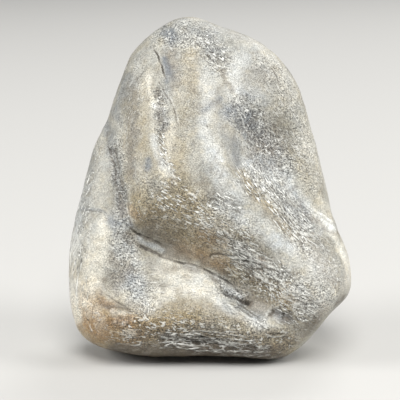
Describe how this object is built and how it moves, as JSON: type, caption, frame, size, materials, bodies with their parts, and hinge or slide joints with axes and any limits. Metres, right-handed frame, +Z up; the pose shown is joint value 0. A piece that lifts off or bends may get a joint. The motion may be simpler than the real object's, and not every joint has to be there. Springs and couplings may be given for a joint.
{
  "type": "gastrolith",
  "caption": "Polished natural stone with a leaning broad face, a diagonal crease under an overhanging belly, a side slab and a rounded foot, standing on a small worn flat",
  "frame": {"origin": "middle of the stone's box in X and Y, on the surface that the worn flat rests on", "axes": "+Z is up, along the stone's greatest length; the broad creased face looks along -Y and leans back; +X is to the right of someone who looks at that face; Y is the stone's thickness"},
  "size_m": [0.058, 0.04, 0.069],
  "materials": {
    "polished_stone": "waxy natural polish, cream, tan and blue-grey"
  },
  "bodies": {
    "root": {"gastrolith": "polished_stone"}
  },
  "joints": []
}
